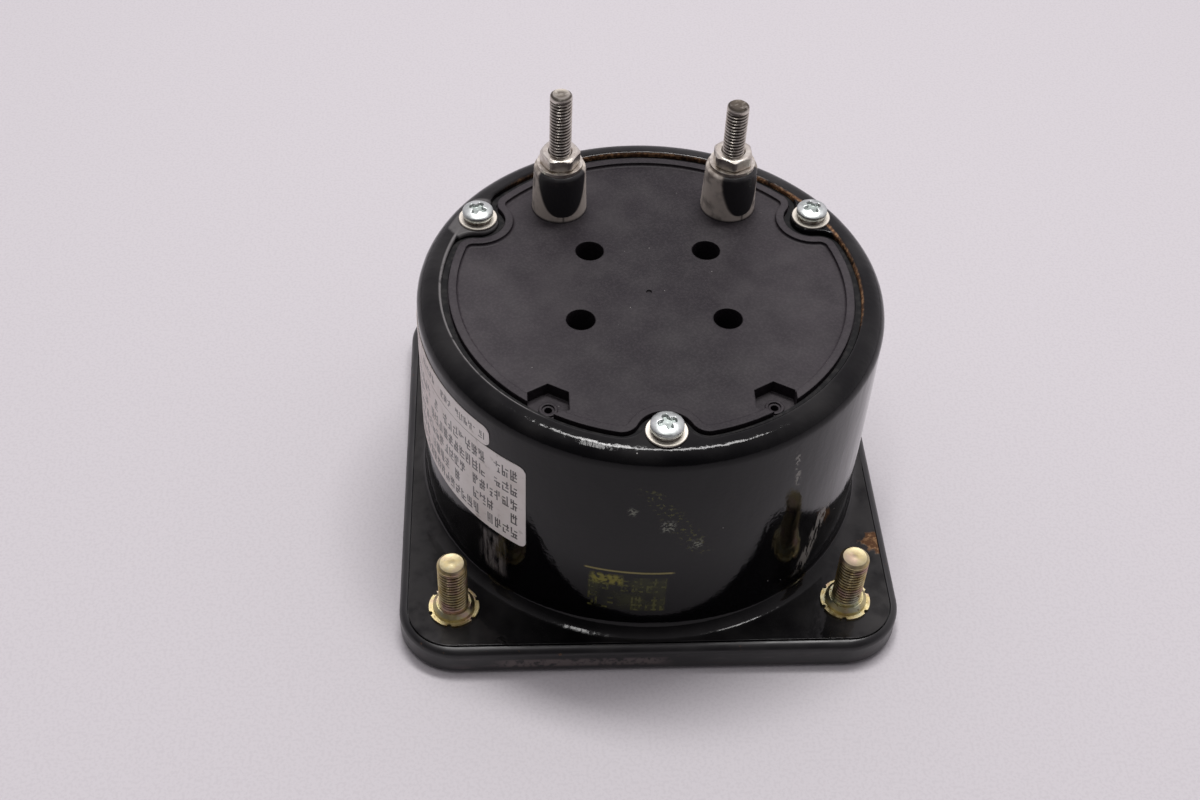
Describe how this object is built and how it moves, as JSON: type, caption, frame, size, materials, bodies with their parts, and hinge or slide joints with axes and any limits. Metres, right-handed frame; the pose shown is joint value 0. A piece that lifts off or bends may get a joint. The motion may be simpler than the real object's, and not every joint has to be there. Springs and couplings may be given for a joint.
{
  "type": "analogue panel meter",
  "caption": "Round-bodied switchboard panel meter with a square flange, threaded mounting studs, rear terminal posts and a long-scale moving-coil movement.",
  "frame": {"origin": "centre of the bezel's front face, the lowest face when the meter lies on its face", "axes": "+Z along the barrel axis towards the rear terminals; +Y towards the terminal posts, the meter's lower edge when mounted; +X to the right seen from behind with the terminals at the top"},
  "size_m": [0.1096, 0.1096, 0.0924],
  "materials": {
    "case_enamel": "gloss black baked enamel, dusty, worn at the edges",
    "bezel_enamel": "gloss black enamel",
    "gasket_rubber": "soft grey-black rubber",
    "window_glass": "clear flat glass",
    "spring_steel": "blued spring steel",
    "yellow_zinc": "yellow chromate over zinc, iridescent",
    "bright_zinc": "bright zinc plate",
    "base_moulding": "matt black phenolic moulding, dust in the grain",
    "nickel_plate": "warm worn nickel plate",
    "label_stock": null,
    "dial_paint": "matt white paint with a plain black scale",
    "pointer_paint": "matt black",
    "cast_aluminium": "as-cast, lightly blasted",
    "turned_brass": "turned brass",
    "spring_bronze": "phosphor bronze strip",
    "magnet_alloy": "cast magnet alloy, ground ends",
    "soft_iron": "machined soft iron, zinc plated",
    "copper_wire": "varnished copper winding",
    "staff_steel": "polished hardened steel",
    "resistor_body": "glazed tan ceramic",
    "red_sleeving": "red plastic insulation",
    "black_sleeving": "black plastic insulation"
  },
  "bodies": {
    "meter_case": {"case_shell": "case_enamel", "front_bezel": "bezel_enamel", "case_gasket": "gasket_rubber", "window_gasket": "gasket_rubber", "window_glass": "window_glass", "window_retainer": "spring_steel", "mounting_studs": "yellow_zinc", "stud_collars": "yellow_zinc", "terminal_base": "base_moulding", "base_gasket": "gasket_rubber", "case_screws": "bright_zinc", "case_screw_washers": "bright_zinc", "case_lock_washers": "bright_zinc", "terminal_stud_left": "nickel_plate", "terminal_stud_right": "nickel_plate", "terminal_washers": "nickel_plate", "solder_lug_left": "turned_brass", "solder_lug_right": "turned_brass", "rating_label": "label_stock", "date_label": "label_stock", "dial_plate": "dial_paint", "dial_posts": "turned_brass", "dial_screws": "bright_zinc", "pointer_stops": "turned_brass", "front_hairspring": "spring_bronze", "rear_hairspring": "spring_bronze", "movement_plate": "cast_aluminium", "movement_pillars": "turned_brass", "movement_screws": "bright_zinc", "front_bridge": "cast_aluminium", "rear_bridge": "cast_aluminium", "rear_bridge_screws": "bright_zinc", "front_jewel_screw": "turned_brass", "rear_jewel_screw": "turned_brass", "core_ring": "soft_iron", "core_keeper": "soft_iron", "permanent_magnet": "magnet_alloy", "outer_pole_ring": "soft_iron", "series_resistor": "resistor_body", "resistor_tags": "turned_brass", "positive_lead": "red_sleeving", "negative_lead": "black_sleeving", "resistor_link_wire": "red_sleeving"},
    "moving_coil": {"pointer": "pointer_paint", "balance_weights": "turned_brass", "pivot_staff": "staff_steel", "coil_winding": "copper_wire", "coil_former": "cast_aluminium", "coil_hubs": "turned_brass"},
    "zero_adjuster": {"zero_adjuster": "pointer_paint"},
    "zero_lever": {"zero_lever": "dial_paint"},
    "left_nut": {"terminal_nut_left": "nickel_plate"},
    "right_nut": {"terminal_nut_right": "nickel_plate"}
  },
  "joints": [
    {"name": "pointer_swing", "type": "hinge", "parent": "meter_case", "child": "moving_coil", "pos_m": [0, 0, 0.026], "axis": [0, 0, 1], "range_deg": [-3, 253], "stiffness_Nm_per_rad": 0.000005, "deforming": ["front_hairspring", "rear_hairspring"]},
    {"name": "zero_adjuster_turn", "type": "hinge", "parent": "meter_case", "child": "zero_adjuster", "pos_m": [0, 0.0462, 0.003], "axis": [0, 0, 1], "range_deg": [-50, 50]},
    {"name": "zero_lever_swing", "type": "hinge", "parent": "meter_case", "child": "zero_lever", "pos_m": [0, 0, 0.006], "axis": [0, 0, 1], "range_deg": [-1.3, 1.3]},
    {"name": "left_nut_travel", "type": "slide", "parent": "meter_case", "child": "left_nut", "axis": [0, 0, 1], "range_m": [0, 0.0148]},
    {"name": "right_nut_travel", "type": "slide", "parent": "meter_case", "child": "right_nut", "axis": [0, 0, 1], "range_m": [0, 0.012]}
  ],
  "couplings": [
    {"joint": "zero_lever_swing", "follows": "zero_adjuster_turn", "ratio": -0.02516}
  ]
}
